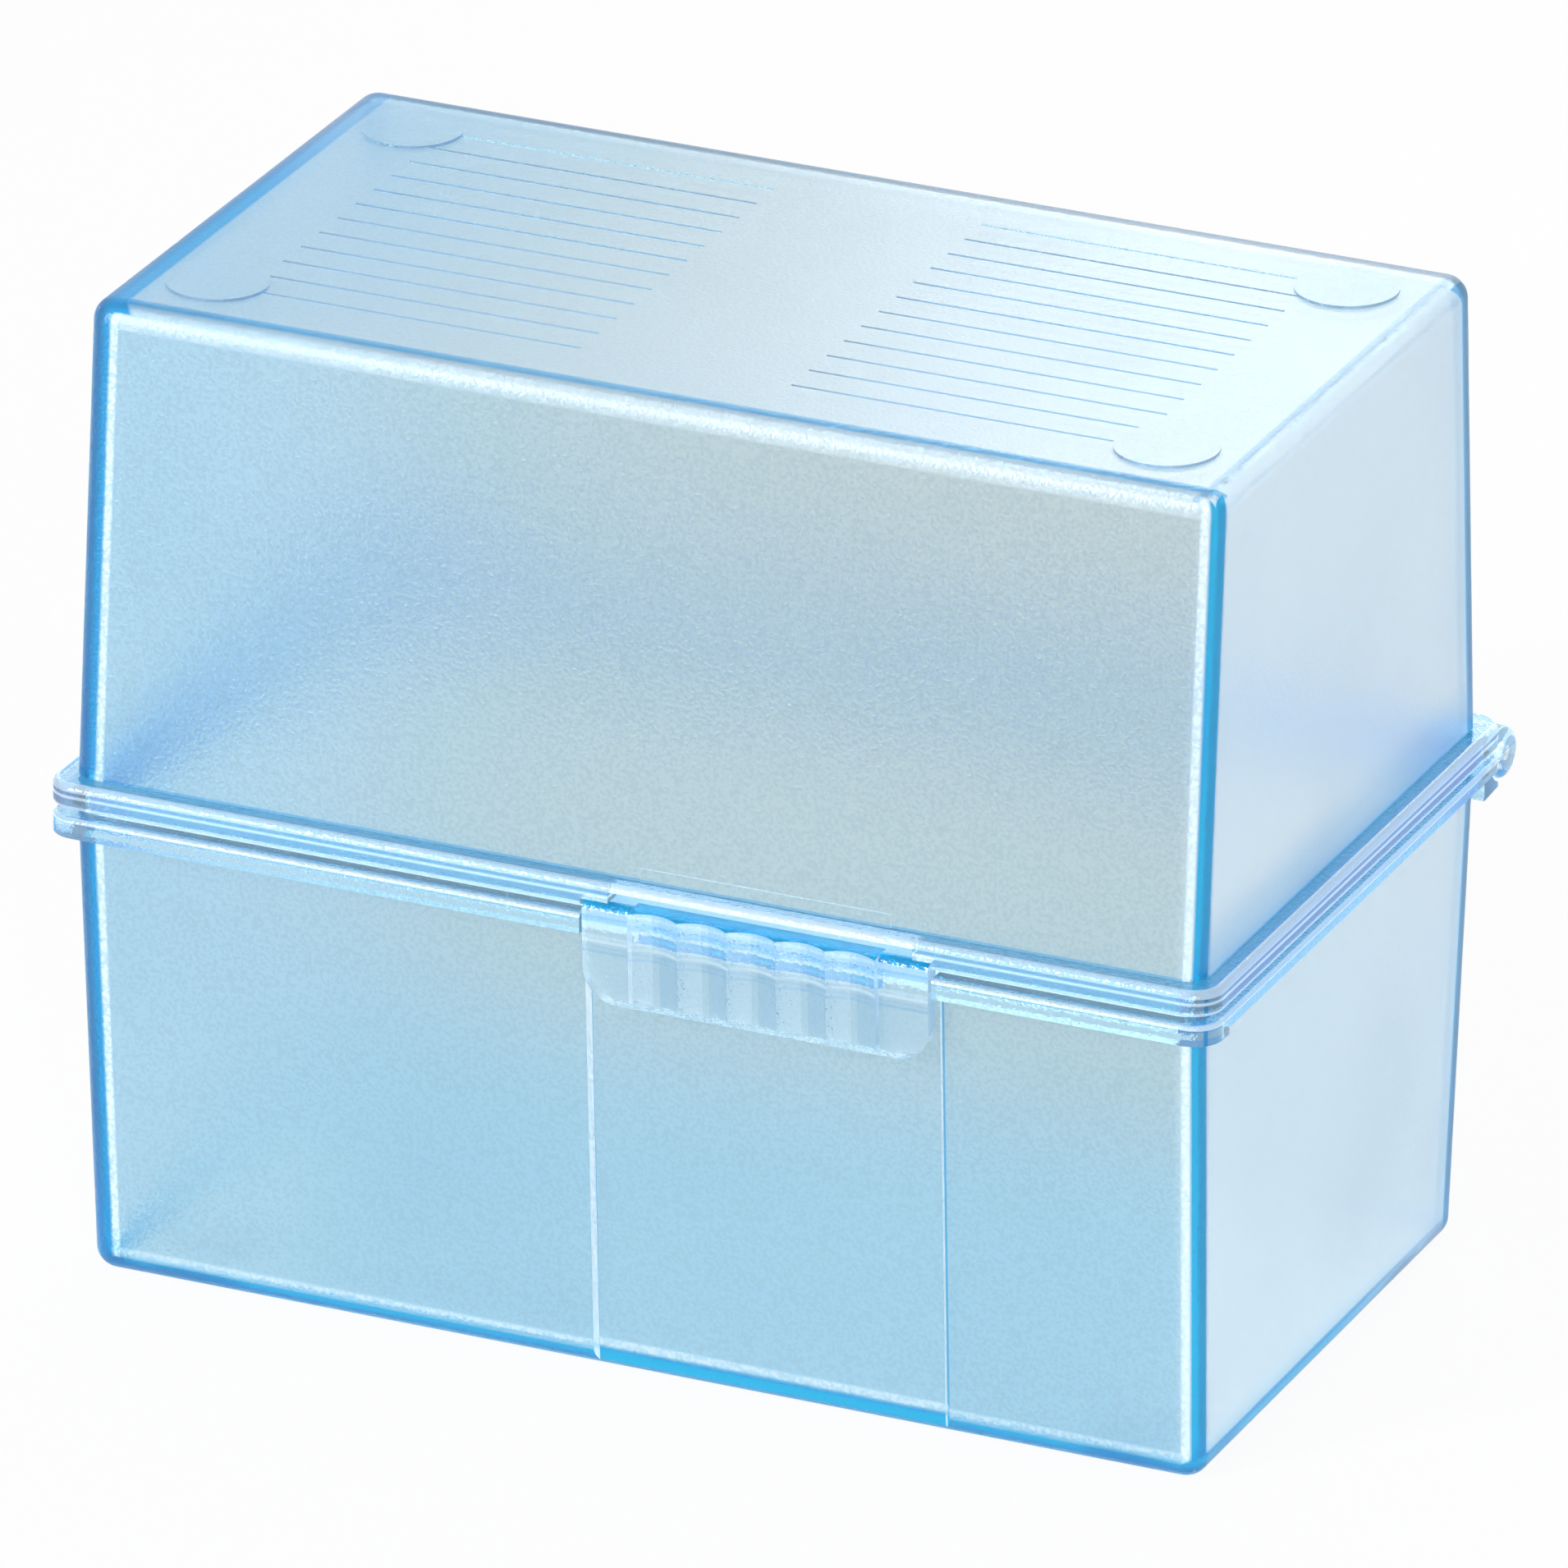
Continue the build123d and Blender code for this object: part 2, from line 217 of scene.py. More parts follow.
# Between which places the painted tones of the outer walls fade in (painted reflection, painted
# shade, paler painted light and painted sheen), across (x), back (y) and up (z)
GREY_ACROSS = (-70 * MM, -5 * MM)
GREY_UP = (15 * MM, 75 * MM)
DEEPER_ACROSS = (-70 * MM, -30 * MM)
DEEPER_UP_TO = (25 * MM, 60 * MM)
FRONT_WALL_BACK = -40 * MM
SIDE_WALL_ACROSS = (74 * MM, 77.5 * MM)
ROOF_UP = (131 * MM, 134 * MM)
ROOF_ACROSS = (-75 * MM, 60 * MM)
ROOF_SHEEN_SHARE = 0.5

# How a node's triangles are joined again
JOINED_WITHIN = 0.001 * MM
FLAT_WITHIN = math.radians(0.05)
SHARP_FROM = math.radians(28)
LARGE_FACES_FIRST = 100


def feed(tree, value, socket):
    """Sets a socket to a number or a colour, or links another socket to it."""
    if isinstance(value, (int, float, tuple)):
        socket.default_value = value
    else:
        tree.links.new(value, socket)


def add_node(tree, kind, values):
    """A new node with its named inputs fed."""
    node = tree.nodes.new(kind)
    for title, value in values.items():
        feed(tree, value, node.inputs[title])
    return node


def maths(tree, operation, first, second=None):
    """One step of arithmetic; each side is a socket or a number."""
    step = tree.nodes.new("ShaderNodeMath")
    step.operation = operation
    feed(tree, first, step.inputs[0])
    if second is not None:
        feed(tree, second, step.inputs[1])
    return step.outputs[0]


def product(tree, first, *others):
    for other in others:
        first = maths(tree, "MULTIPLY", first, other)
    return first


def highest(tree, first, *others):
    for other in others:
        first = maths(tree, "MAXIMUM", first, other)
    return first


def remainder(tree, value):
    """What a value between 0 and 1 leaves of 1."""
    return maths(tree, "SUBTRACT", 1.0, value)


def ramp(tree, value, low, high):
    """0 below low and 1 above high, with an eased rise between them."""
    span = add_node(tree, "ShaderNodeMapRange", {"Value": value, "From Min": low, "From Max": high})
    span.interpolation_type = "SMOOTHSTEP"
    return span.outputs["Result"]


def spread(tree, value, low, high):
    """Low where the value is 0 and high where it is 1, evenly between them."""
    span = add_node(tree, "ShaderNodeMapRange", {"Value": value, "To Min": low, "To Max": high})
    return span.outputs["Result"]


def between(tree, value, low, high, soft):
    """1 between low and high, each a socket or a number, and 0 outside them, with soft ends."""
    above = ramp(tree, maths(tree, "SUBTRACT", value, low), -soft, soft)
    below = ramp(tree, maths(tree, "SUBTRACT", high, value), -soft, soft)
    return product(tree, above, below)


def blend_colour(tree, amount, first, second):
    """First colour where amount is 0 and second where it is 1; each is a socket or a colour."""
    mix = tree.nodes.new("ShaderNodeMix")
    mix.data_type = "RGBA"
    feed(tree, amount, mix.inputs["Factor"])
    # A mix node has inputs of the same name for every kind of value; the colours are 6 and 7
    feed(tree, first, mix.inputs[6])
    feed(tree, second, mix.inputs[7])
    return mix.outputs[2]


def mix_shaders(tree, amount, first, second):
    mix = add_node(tree, "ShaderNodeMixShader", {"Fac": amount})
    feed(tree, first, mix.inputs[1])
    feed(tree, second, mix.inputs[2])
    return mix.outputs["Shader"]


def new_material(name):
    material = bpy.data.materials.new(name)
    material.use_nodes = True
    tree = material.node_tree
    return material, tree, tree.nodes["Principled BSDF"], tree.nodes["Material Output"]


def make_camera():
    """A long lens at the photograph's angle; the frame's centre is the picture's centre."""
    back = Vector((math.sin(AZIMUTH) * math.cos(ELEVATION),
                   -math.cos(AZIMUTH) * math.cos(ELEVATION),
                   math.sin(ELEVATION)))
    right = Vector((math.cos(AZIMUTH), math.sin(AZIMUTH), 0))
    up = back.cross(right)
    aim = Vector((0, 0, AIM_HEIGHT)) + right * AIM_RIGHT + up * AIM_UP
    level = Matrix((right, up, back)).transposed()
    turn = level @ Matrix.Rotation(ROLL, 3, "Z")
    data = bpy.data.cameras.new("camera")
    data.sensor_width = SENSOR
    data.lens = FOCAL_PIXELS * SENSOR / FRAME_PIXELS
    data.clip_end = VIEW_END
    camera = bpy.data.objects.new("camera", data)
    camera.matrix_world = Matrix.Translation(aim + back * DISTANCE) @ turn.to_4x4()
    bpy.context.scene.collection.objects.link(camera)
    bpy.context.scene.camera = camera


def area_light(name, place, size, watts, aim=BOX_MIDDLE):
    data = bpy.data.lights.new(name, "AREA")
    data.shape = "RECTANGLE"
    data.size, data.size_y = size
    data.energy = watts
    lamp = bpy.data.objects.new(name, data)
    lamp.location = place
    direction = Vector(aim) - Vector(place)
    lamp.rotation_euler = direction.to_track_quat("-Z", "Y").to_euler()
    bpy.context.scene.collection.objects.link(lamp)


def ray_amounts(tree, amounts):
    """A value that is the given amount for each kind of ray named, and 0 for the others."""
    path = tree.nodes.new("ShaderNodeLightPath")
    return highest(tree, *[product(tree, path.outputs[kind], amount)
                           for kind, amount in amounts.items()])


def make_world():
    """White to the camera, through glass and in reflections, softer as a source of light."""
    world = bpy.data.worlds.new("studio")
    bpy.context.scene.world = world
    world.use_nodes = True
    tree = world.node_tree
    tree.nodes.clear()
    strength = spread(tree, ray_amounts(tree, WORLD_WHITE_TO), AMBIENT, 1.0)
    background = add_node(tree, "ShaderNodeBackground",
                          {"Color": (1, 1, 1, 1), "Strength": strength})
    add_node(tree, "ShaderNodeOutputWorld", {"Surface": background.outputs[0]})


def make_floor():
    material, tree, paper, output = new_material("paper_floor")
    paper.inputs["Base Color"].default_value = (0.95, 0.95, 0.95, 1)
    paper.inputs["Roughness"].default_value = 0.9
    paper.inputs["Specular IOR Level"].default_value = 0.1
    white = tree.nodes.new("ShaderNodeEmission")
    surface = mix_shaders(tree, ray_amounts(tree, FLOOR_WHITE_TO), paper.outputs["BSDF"],
                          white.outputs["Emission"])
    feed(tree, surface, output.inputs["Surface"])
    mesh = bpy.data.meshes.new("floor")
    mesh.from_pydata([(-FLOOR_HALF, -FLOOR_HALF, 0), (FLOOR_HALF, -FLOOR_HALF, 0),
                      (FLOOR_HALF, FLOOR_HALF, 0), (-FLOOR_HALF, FLOOR_HALF, 0)],
                     [], [(0, 1, 2, 3)])
    mesh.materials.append(material)
    floor = bpy.data.objects.new("floor", mesh)
    bpy.context.scene.collection.objects.link(floor)


def new_group(name, numbers, outputs):
    """An empty node group with a vector input, named number inputs and named number outputs."""
    tree = bpy.data.node_groups.new(name, "ShaderNodeTree")
    tree.interface.new_socket("Vector", in_out="INPUT", socket_type="NodeSocketVector")
    for title, value in numbers.items():
        socket = tree.interface.new_socket(title, in_out="INPUT", socket_type="NodeSocketFloat")
        socket.default_value = value
    for title in outputs:
        tree.interface.new_socket(title, in_out="OUTPUT", socket_type="NodeSocketFloat")
    return tree, tree.nodes.new("NodeGroupInput"), tree.nodes.new("NodeGroupOutput")


def place_group(tree, group, values):
    """A copy of a group in a material, with its inputs fed."""
    placed = tree.nodes.new("ShaderNodeGroup")
    placed.node_tree = group
    for title, value in values.items():
        feed(tree, value, placed.inputs[title])
    return placed.outputs


def split_place(tree, vector):
    return add_node(tree, "ShaderNodeSeparateXYZ", {"Vector": vector}).outputs


def make_grain():
    """Spark-eroded mould grain: soft pebbles with a finer tooth on them."""
    tree, inside, outside = new_group("mould_grain", {"Pebble": PEBBLE_SIZE, "Amount": 1.0},
                                      ("Height", "Tooth"))
    scale = maths(tree, "DIVIDE", 1.0, inside.outputs["Pebble"])
    pebbles = add_node(tree, "ShaderNodeTexNoise", {"Vector": inside.outputs["Vector"],
                                                    "Scale": scale, "Detail": 1.0})
    height = product(tree, pebbles.outputs["Fac"], inside.outputs["Amount"])
    tooth = product(tree, ramp(tree, pebbles.outputs["Fac"], *TOOTH_SPAN),
                    inside.outputs["Amount"])
    feed(tree, height, outside.inputs["Height"])
    feed(tree, tooth, outside.inputs["Tooth"])
    return tree


def make_handling():
    """Signs of use: faint cloudy smears, and a few specks of dust."""
    tree, inside, outside = new_group("handling", {"Smear": 1.0, "Dust": 1.0},
                                      ("Smear", "Dust"))
    place = inside.outputs["Vector"]
    cloud = add_node(tree, "ShaderNodeTexNoise", {"Vector": place, "Scale": 28.0, "Detail": 2.0})
    speck = add_node(tree, "ShaderNodeTexVoronoi", {"Vector": place, "Scale": 75.0})
    thin = add_node(tree, "ShaderNodeTexWhiteNoise", {"Vector": speck.outputs["Position"]})
    smear = product(tree, ramp(tree, cloud.outputs["Fac"], *CLOUD_SPAN), inside.outputs["Smear"])
    near = remainder(tree, ramp(tree, speck.outputs["Distance"], *SPECK_SPAN))
    kept = maths(tree, "GREATER_THAN", thin.outputs["Value"], SPECKS_LEFT_OUT)
    feed(tree, smear, outside.inputs["Smear"])
    feed(tree, product(tree, near, kept, inside.outputs["Dust"]), outside.inputs["Dust"])
    return tree


def make_wall_depths():
    """How far a place is from the side, the front or back, and the end, in edge radii, and on
    which side of the box it is."""
    tree, inside, outside = new_group(
        "wall_depths", {"Side Lean": 0.0, "Front Lean": 0.0, "End": 0.0},
        ("Across", "Along", "Upright", "Front", "Rear", "Left", "Right", "Front Left",
         "Front Right"))
    x, y, z = split_place(tree, inside.outputs["Vector"])
    rise = maths(tree, "ABSOLUTE", maths(tree, "SUBTRACT", z, PART_LINE))
    for title, axis, half, lean in (("Across", x, RIM_WIDTH / 2, "Side Lean"),
                                    ("Along", y, RIM_DEPTH / 2, "Front Lean")):
        plane = maths(tree, "SUBTRACT", half, product(tree, rise, inside.outputs[lean]))
        depth = maths(tree, "SUBTRACT", plane, maths(tree, "ABSOLUTE", axis))
        feed(tree, maths(tree, "DIVIDE", depth, EDGE_RADIUS), outside.inputs[title])
    height = maths(tree, "ABSOLUTE", maths(tree, "SUBTRACT", inside.outputs["End"], z))
    feed(tree, maths(tree, "DIVIDE", height, EDGE_RADIUS), outside.inputs["Upright"])
    left = maths(tree, "LESS_THAN", x, 0.0)
    right = remainder(tree, left)
    front = maths(tree, "LESS_THAN", y, 0.0)
    # The edges along the sides lose half their painted colour towards the back
    fade = remainder(tree, product(tree, REAR_FADE, ramp(tree, y, 0.0, RIM_DEPTH / 2)))
    sides = {"Front": front, "Rear": remainder(tree, front),
             "Left": product(tree, left, fade), "Right": product(tree, right, fade),
             "Front Left": product(tree, front, left),
             "Front Right": product(tree, front, right)}
    for title, side in sides.items():
        feed(tree, side, outside.inputs[title])
    return tree


def make_edge_band():
    """One rounded edge: where across it the painted blue of light that has run along the plastic
    lies, and where the painted white highlight lies.
    """
    tree, inside, outside = new_group(
        "edge_band", {"Near": 0.0, "Far": 0.0, "Where": 1.0,
                      "Blue From": 0.0, "Blue To": 0.0, "Blue Amount": 1.0,
                      "White From": 0.0, "White To": 0.0, "White Amount": 1.0},
        ("Blue", "White"))
    near, far = inside.outputs["Near"], inside.outputs["Far"]
    place = maths(tree, "SUBTRACT", far, near)
    shallow = remainder(tree, ramp(tree, maths(tree, "MINIMUM", near, far), *EDGE_REACH))
    on_edge = product(tree, shallow, inside.outputs["Where"])
    for title in ("Blue", "White"):
        band = between(tree, place, inside.outputs[title + " From"],
                       inside.outputs[title + " To"], EDGE_SOFTNESS)
        strength = product(tree, on_edge, inside.outputs[title + " Amount"])
        feed(tree, product(tree, band, strength), outside.inputs[title])
    return tree


def make_rim_lines():
    """Painted level lines of light along the rim's bands, and the painted blue of the rim's inner
    side.
    """
    tree, inside, outside = new_group("rim_lines", {"Across": 0.0, "Along": 0.0},
                                      ("Blue", "White"))
    _, y, z = split_place(tree, inside.outputs["Vector"])
    depth = maths(tree, "MINIMUM", inside.outputs["Across"], inside.outputs["Along"])
    inner = ramp(tree, depth, *RIM_SKIN)
    outer = remainder(tree, inner)
    seen_through = product(tree, inner, ramp(tree, y, *BEHIND_FRONT))
    feed(tree, product(tree, between(tree, z, *RIM_WHITE_LINE), outer), outside.inputs["White"])
    thin = highest(tree, between(tree, z, *RIM_LOW_BLUE_LINE),
                   between(tree, z, *RIM_HIGH_BLUE_LINE))
    thin = product(tree, thin, outer, RIM_BLUE_AMOUNT)
    wide = product(tree, between(tree, z, *RIM_INSIDE_BLUE), seen_through, RIM_INSIDE_AMOUNT)
    side = remainder(tree, ramp(tree, inside.outputs["Across"], *SIDE_SKIN))
    above = product(tree, between(tree, z, *ABOVE_RIM_BLUE), side, ABOVE_RIM_AMOUNT)
    feed(tree, highest(tree, thin, wide, above), outside.inputs["Blue"])
    return tree


def make_tab_lines():
    """Painted level lines across the clear tab, where the rim's gap and the catch ledge show
    through it: blue lines and a pale painted highlight.
    """
    tree, inside, outside = new_group("tab_lines", {}, ("Blue", "White"))
    _, _, z = split_place(tree, inside.outputs["Vector"])
    gap = product(tree, between(tree, z, *TAB_GAP_LINE), TAB_GAP_AMOUNT)
    ledge = product(tree, between(tree, z, *TAB_LEDGE_LINE), TAB_LEDGE_AMOUNT)
    pale = product(tree, between(tree, z, *TAB_PALE_LINE), TAB_PALE_AMOUNT)
    feed(tree, highest(tree, gap, ledge), outside.inputs["Blue"])
    feed(tree, pale, outside.inputs["White"])
    return tree


def make_wall_tone():
    """Where the outer walls get painted light and shade over their usual blue: a greyer painted
    reflection, a darker painted shade, paler painted light and a painted sheen.
    """
    tree, inside, outside = new_group("wall_tone", {}, ("Grey", "Painted Shade", "Clear", "Painted Sheen"))
    x, y, z = split_place(tree, inside.outputs["Vector"])
    # painted reflection: greyer to the right and up; painted shade: darker blue low on the front
    grey = product(tree, ramp(tree, x, *GREY_ACROSS), ramp(tree, z, *GREY_UP))
    low = remainder(tree, ramp(tree, z, *DEEPER_UP_TO))
    front = maths(tree, "LESS_THAN", y, FRONT_WALL_BACK)
    painted_shade = product(tree, low, ramp(tree, x, *DEEPER_ACROSS), front)
    side = ramp(tree, maths(tree, "ABSOLUTE", x), *SIDE_WALL_ACROSS)
    roof = ramp(tree, z, *ROOF_UP)
    # painted light: paler on the sides and towards the roof's right, and a painted sheen on the
    # sides and roof
    clear = highest(tree, side, product(tree, roof, ramp(tree, x, *ROOF_ACROSS)))
    painted_sheen = highest(tree, side, product(tree, roof, ROOF_SHEEN_SHARE))
    for title, tone in (("Grey", grey), ("Painted Shade", painted_shade), ("Clear", clear), ("Painted Sheen", painted_sheen)):
        feed(tree, tone, outside.inputs[title])
    return tree


def read_mark(tree, name):
    mark = tree.nodes.new("ShaderNodeAttribute")
    mark.attribute_name = name
    return mark.outputs["Fac"]


def edge_masks(tree, groups, place, walls, edges, frost, grain):
    """Painted blue and painted white highlight of the marked faces, and of a shell's rounded edges
    and rim, or else of the tab's painted lines where there are no edges."""
    blue, white = read_mark(tree, "blue"), read_mark(tree, "white")
    if not edges:
        lines = place_group(tree, groups["tab"], {"Vector": place})
        return highest(tree, blue, lines["Blue"]), highest(tree, white, lines["White"])
    depths = place_group(tree, groups["depths"], {"Vector": place, **walls})
    bands = []
    for near, far, side, blue_span, white_span in edges:
        values = {"Near": depths[near], "Far": depths[far], "Where": depths[side]}
        for title, span in (("Blue", blue_span), ("White", white_span)):
            values[title + " From"], values[title + " To"], values[title + " Amount"] = span
        bands.append(place_group(tree, groups["band"], values))
    edge_blue = product(tree, highest(tree, *[band["Blue"] for band in bands]), frost)
    # the painted white highlight is speckled by the grain's teeth
    speckled = maths(tree, "ADD", WHITE_BETWEEN_TEETH,
                     product(tree, grain["Tooth"], WHITE_ON_TEETH))
    edge_white = product(tree, highest(tree, *[band["White"] for band in bands]), frost,
                         speckled, remainder(tree, edge_blue))
    lines = place_group(tree, groups["rim"], {"Vector": place, "Across": depths["Across"],
                                              "Along": depths["Along"]})
    return (highest(tree, blue, edge_blue, lines["Blue"]),
            highest(tree, white, edge_white, lines["White"]))


def styrene(name, groups, walls, edges):
    """Clear blue polystyrene, grained outside, with painted light: blue painted where light runs
    along the plastic, painted highlights, painted reflection and shade on the walls, and painted
    glows.
    """
    material, tree, shader, output = new_material(name)
    shader.inputs["IOR"].default_value = 1.59
    shader.inputs["Specular IOR Level"].default_value = 0.2
    shader.inputs["Transmission Weight"].default_value = 0.9
    shader.inputs["Emission Strength"].default_value = 1.0
    place = tree.nodes.new("ShaderNodeTexCoord").outputs["Object"]
    frost = read_mark(tree, "frost")
    grain = place_group(tree, groups["grain"], {"Vector": place,
                                                "Amount": read_mark(tree, "grain")})
    handling = place_group(tree, groups["handling"], {"Vector": place})
    tone = place_group(tree, groups["tone"], {"Vector": place})
    blue, white = edge_masks(tree, groups, place, walls, edges, frost, grain)

    # The outer walls' blue, with painted tones: a grey painted reflection, a painted shade, paler
    # painted light, and painted shade on the grain's teeth
    outer = BLUE_TONE
    for amount, colour in ((tone["Grey"], PAINTED_REFLECTION_GREY), (tone["Painted Shade"], PAINTED_SHADE_BLUE),
                           (tone["Clear"], PAINTED_PALE_LIGHT),
                           (product(tree, grain["Tooth"], GRAIN_SHADE_AMOUNT), GRAIN_SHADE)):
        outer = blend_colour(tree, amount, outer, colour)
    body = blend_colour(tree, frost, CLEAR_BODY, outer)
    # The emission colour paints light: a sheen on the sides and roof, and glows where the painted
    # blue and the painted highlight lie
    painted_glow = blend_colour(tree, product(tree, tone["Painted Sheen"], frost), NO_LIGHT, PAINTED_SIDE_SHEEN)
    for mask, colour, light in ((blue, PAINTED_EDGE_BLUE, PAINTED_GLOW_BLUE), (white, PAINTED_HIGHLIGHT_WHITE, PAINTED_GLOW_WHITE)):
        body = blend_colour(tree, mask, body, colour)
        painted_glow = blend_colour(tree, mask, painted_glow, light)
    feed(tree, body, shader.inputs["Base Color"])
    feed(tree, painted_glow, shader.inputs["Emission Color"])

    smooth = spread(tree, frost, CLEAR_ROUGHNESS, GRAINED_ROUGHNESS)
    worn = maths(tree, "ADD", product(tree, handling["Smear"], SMEAR_ROUGHNESS),
                 product(tree, handling["Dust"], DUST_ROUGHNESS))
    worn = maths(tree, "ADD", worn, product(tree, grain["Tooth"], TOOTH_ROUGHNESS))
    feed(tree, maths(tree, "ADD", smooth, worn), shader.inputs["Roughness"])
    bump = add_node(tree, "ShaderNodeBump", {"Strength": 1.0, "Distance": GRAIN_DEPTH,
                                             "Height": grain["Height"]})
    feed(tree, bump.outputs["Normal"], shader.inputs["Normal"])

    # Rays that have turned many times get a painted blue glow, an emission standing in for light
    # that has run a long way inside the plastic
    turns = tree.nodes.new("ShaderNodeLightPath").outputs["Ray Depth"]
    glow = add_node(tree, "ShaderNodeEmission", {"Color": DEEP_RAY_GLOW_BLUE})
    surface = mix_shaders(tree, maths(tree, "GREATER_THAN", turns, TURNS_OF_A_LONG_WAY),
                          shader.outputs["BSDF"], glow.outputs["Emission"])
    feed(tree, surface, output.inputs["Surface"])
    thick = add_node(tree, "ShaderNodeVolumeAbsorption", {"Color": THICK_BLUE, "Density": 80.0})
    feed(tree, thick.outputs[0], output.inputs["Volume"])
    return material


def drawn_steel():
    """Bright drawn wire: fine lines along it, and a little dulling."""
    material, tree, shader, _ = new_material("drawn_steel")
    shader.inputs["Metallic"].default_value = 1.0
    place = tree.nodes.new("ShaderNodeTexCoord").outputs["Object"]
    stretch = add_node(tree, "ShaderNodeMapping", {"Vector": place, "Scale": STEEL_STRETCH})
    lines = add_node(tree, "ShaderNodeTexNoise", {"Vector": stretch.outputs["Vector"],
                                                  "Scale": 4000.0, "Detail": 1.0})
    line = lines.outputs["Fac"]
    colour = blend_colour(tree, ramp(tree, line, *STEEL_LINE_SPAN), STEEL_DARK, STEEL_BRIGHT)
    rough = maths(tree, "ADD", STEEL_ROUGHNESS, product(tree, line, STEEL_LINE_ROUGHNESS))
    bump = add_node(tree, "ShaderNodeBump", {"Strength": 0.3, "Distance": 0.02 * MM,
                                             "Height": line})
    feed(tree, colour, shader.inputs["Base Color"])
    feed(tree, rough, shader.inputs["Roughness"])
    feed(tree, bump.outputs["Normal"], shader.inputs["Normal"])
    return material


def merged_copy(node_name, name):
    """A copy of a node's mesh with its loose triangles joined and its flat faces kept flat."""
    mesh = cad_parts[node_name].data.copy()
    mesh.name = name
    shape = bmesh.new()
    shape.from_mesh(mesh)
    bmesh.ops.remove_doubles(shape, verts=shape.verts, dist=JOINED_WITHIN)
    bmesh.ops.dissolve_limit(shape, angle_limit=FLAT_WITHIN, verts=shape.verts,
                             edges=shape.edges, delimit=set())
    for face in shape.faces:
        face.smooth = True
    for edge in shape.edges:
        edge.smooth = len(edge.link_faces) == 2 and edge.calc_face_angle() < SHARP_FROM
    shape.to_mesh(mesh)
    shape.free()
    mesh.materials.clear()
    piece = bpy.data.objects.new(name, mesh)
    bpy.context.scene.collection.objects.link(piece)
    weighted = piece.modifiers.new("flat faces", "WEIGHTED_NORMAL")
    weighted.keep_sharp = True
    weighted.weight = LARGE_FACES_FIRST
    bpy.context.view_layer.update()
    finished = bpy.data.meshes.new_from_object(piece.evaluated_get(
        bpy.context.evaluated_depsgraph_get()))
    piece.modifiers.clear()
    piece.data = finished
    return piece


def is_outside_wall(centre, normal):
    """True on the sloping walls, the roof and the underside, but not on the bands or inside."""
    if SKIRT_LOW < centre.z < BAND_HIGH:
        return False
    if normal.z > LEVEL:
        return centre.z > ROOF
    if normal.z < -LEVEL:
        return centre.z < UNDERSIDE
    return centre.xy.dot(normal.xy) > 0


def band_light(centre, normal):
    """How blue and how white a face of the rim's bands is painted, for the light that leaves it."""
    upright = abs(normal.z)
    outward = centre.xy.dot(normal.xy) > 0
    set_back = min(RIM_WIDTH / 2 + BAND_STAND_OUT - abs(centre.x),
                   RIM_DEPTH / 2 + BAND_STAND_OUT - abs(centre.y))
    if BAND_ROUNDING[0] < upright < BAND_ROUNDING[1] and outward:
        return BAND_ROUNDING_LIGHT
    if normal.z < -MOSTLY and centre.z < TRAY_BAND_HIGH - BAND_STEP:
        return BAND_UNDERSIDE_LIGHT
    if upright < STANDING and outward and set_back > BAND_STEP:
        return SET_BACK_LIGHT
    return NO_EDGE


def edge_light(centre, normal):
    """How blue and how white a face is painted, for the light that leaves the plastic there."""
    if SKIRT_LOW - SLACK < centre.z < BAND_HIGH + SLACK:
        return band_light(centre, normal)
    upright, sideways = abs(normal.z), abs(normal.x)
    in_groove = any(abs(centre.x - groove) < GROOVE_HALF for groove in PANEL_GROOVES)
    if (in_groove and centre.y < 0 and upright < GROOVE_STANDING
            and GROOVE_SIDEWAYS[0] < sideways < GROOVE_SIDEWAYS[1]):
        return GROOVE_LEFT_LIGHT if normal.x > 0 else GROOVE_RIGHT_LIGHT
    if centre.z > ROOF and upright < STANDING:
        return ROOF_STEP_LIGHT
    if ROOF < centre.z < ROOF_FACE - SLACK and normal.z > LEVEL:
        return ROOF_LINE_LIGHT
    on_pad = centre.y < PAD_BACK and BAND_HIGH < centre.z < PAD_TOP + SLACK
    if on_pad and (normal.z > MOSTLY or sideways > MOSTLY):
        return PAD_LIGHT
    return NO_EDGE


def tab_light(_, normal):
    """How blue and how white a face of the tab is painted: the top painted deep blue, and each
    flute with a painted pale half and a painted blue half."""
    if normal.z > TAB_TOP_UP:
        return TAB_TOP_LIGHT
    if abs(normal.x) > MOSTLY:
        return TAB_SIDE_LIGHT
    if normal.y < 0 and normal.x > FLUTE_SIDEWAYS:
        return FLUTE_RIGHT_LIGHT
    if normal.y < 0 and normal.x < -FLUTE_SIDEWAYS:
        return FLUTE_LEFT_LIGHT
    return TAB_FLAT_LIGHT


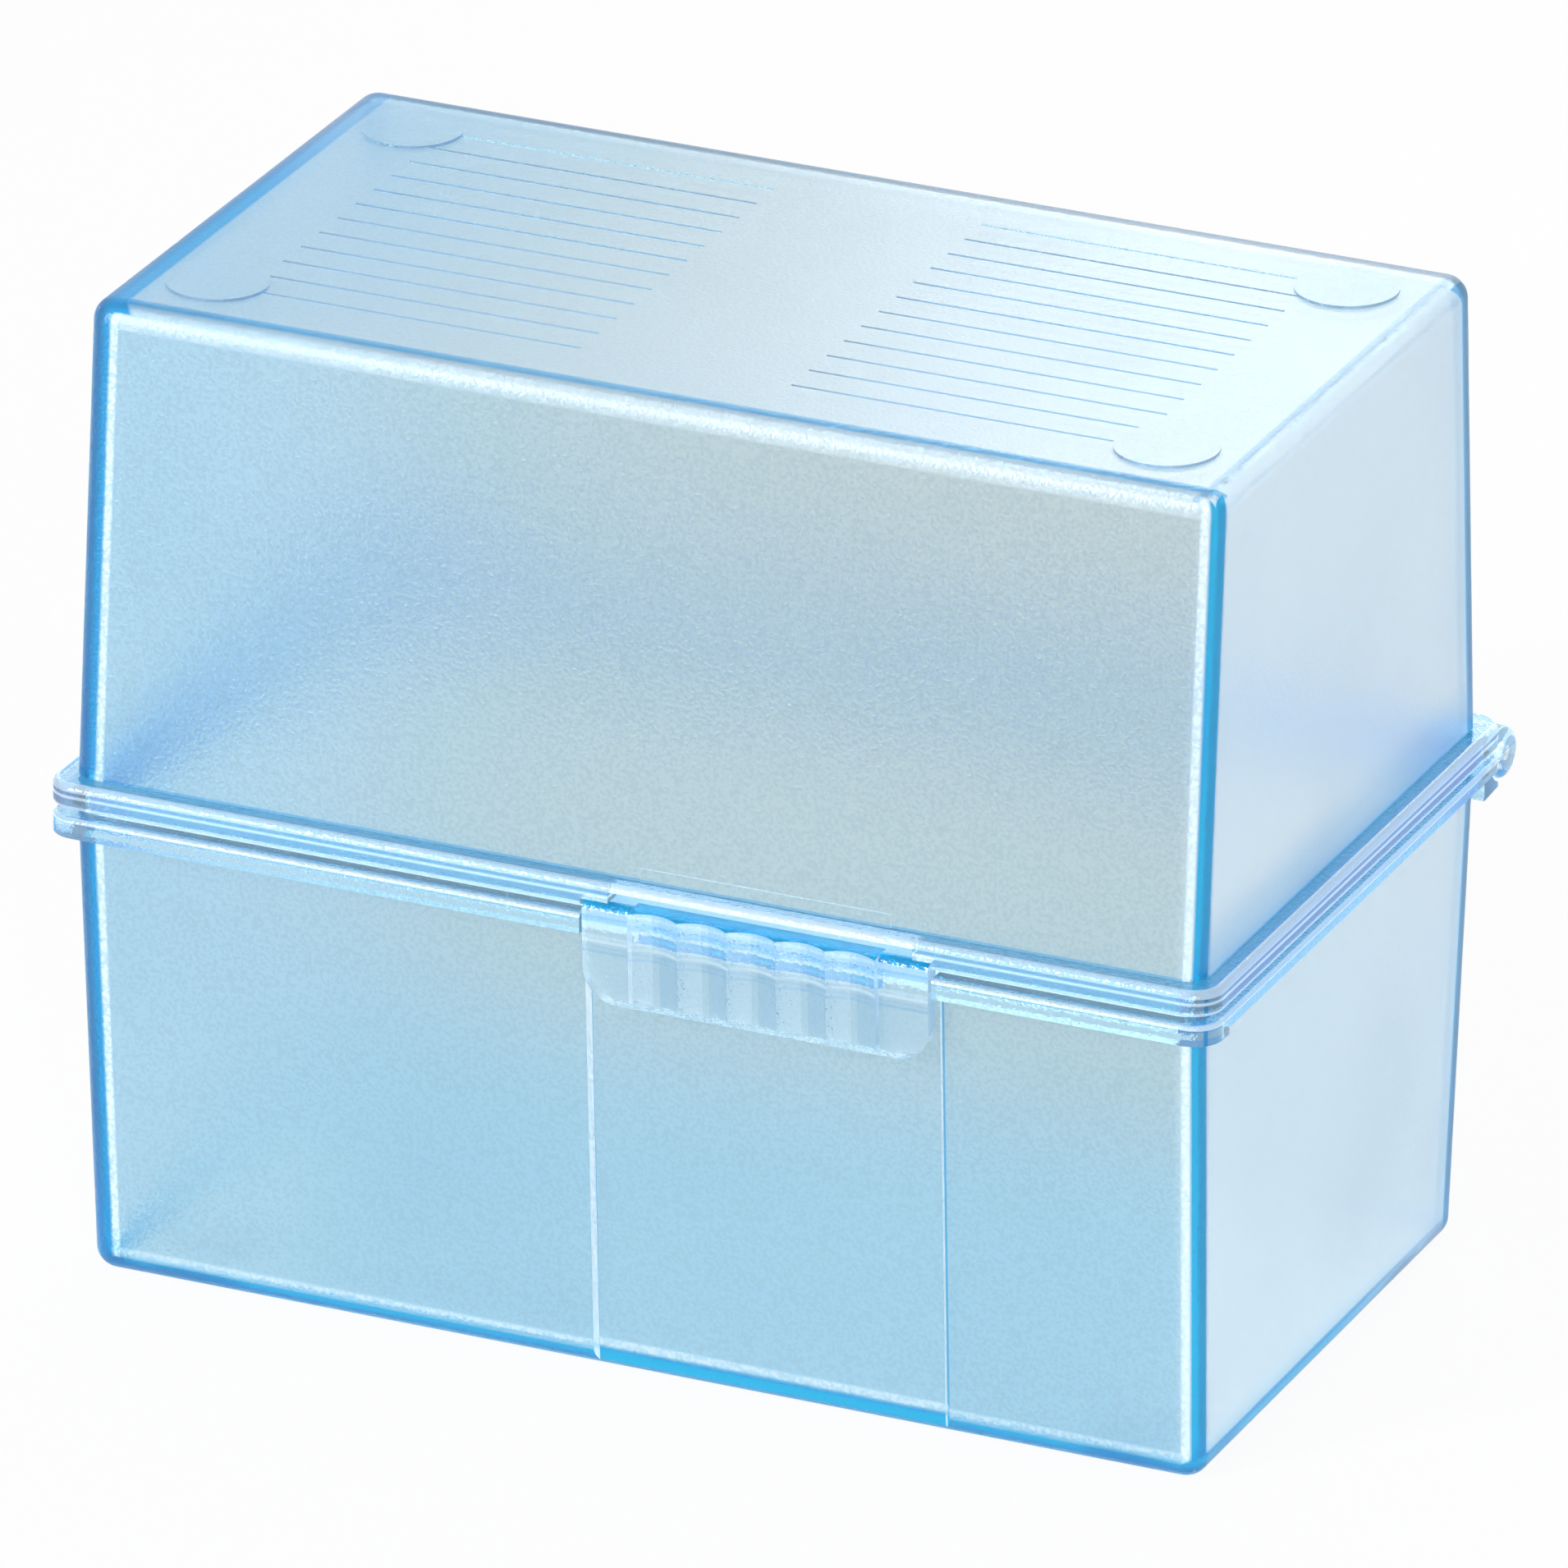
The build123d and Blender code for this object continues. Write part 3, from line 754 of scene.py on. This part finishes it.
def mark_surface(piece, grained, light):
    """frost: 1 on grained faces. blue and white: painted blue and painted white highlight, for
    light that leaves a face's edge.
    grain: how deep the grain is, full on the front, half on the roof and faint on the sides."""
    mesh = piece.data
    frost = mesh.attributes.new("frost", "FLOAT", "FACE")
    blue = mesh.attributes.new("blue", "FLOAT", "FACE")
    white = mesh.attributes.new("white", "FLOAT", "FACE")
    for face in mesh.polygons:
        outside = grained and is_outside_wall(face.center, face.normal)
        frost.data[face.index].value = float(outside)
        deep, pale = light(face.center, face.normal)
        blue.data[face.index].value = deep
        white.data[face.index].value = pale
    grain = mesh.attributes.new("grain", "FLOAT", "CORNER")
    for corner, normal in enumerate(mesh.corner_normals):
        across, along, upright = (abs(part) for part in normal.vector)
        grain.data[corner].value = (along ** 2 + GRAIN_ON_LEVEL * upright ** 2
                                    + GRAIN_ON_SIDES * across ** 2)


def dress(node_name, name, body, material, grained=True, light=edge_light):
    """Puts the joined and marked copy of a node in its place."""
    piece = merged_copy(node_name, name)
    piece.data.materials.append(material)
    mark_surface(piece, grained, light)
    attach(piece, body)
    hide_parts(node_name)


make_camera()
make_world()
make_floor()
area_light("left_strip", place=(-0.9, -1.56, 0.8), size=(0.25, 1.3), watts=25)
area_light("right_strip", place=(0.9, -1.56, 0.6), size=(0.2, 1.0), watts=10)
area_light("roof_panel", place=(-0.05, 0.505, 0.40), size=(0.3, 0.3), watts=0.6,
           aim=(0.03, 0, 0.134))
bpy.context.scene.view_settings.view_transform = "Standard"

groups = {"grain": make_grain(), "handling": make_handling(), "depths": make_wall_depths(),
          "band": make_edge_band(), "tone": make_wall_tone(), "rim": make_rim_lines(),
          "tab": make_tab_lines()}
dress("base_tray", "tray", "base",
      styrene("tray_styrene", groups, TRAY_WALLS, TRAY_EDGES))
dress("lid_cover", "lid", "lid",
      styrene("lid_styrene", groups, LID_WALLS, LID_EDGES))
dress("latch_tab", "fluted_tab", "latch",
      styrene("tab_styrene", groups, {}, ()), grained=False, light=tab_light)
rod_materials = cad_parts["hinge_rod"].data.materials
rod_materials.clear()
rod_materials.append(drawn_steel())
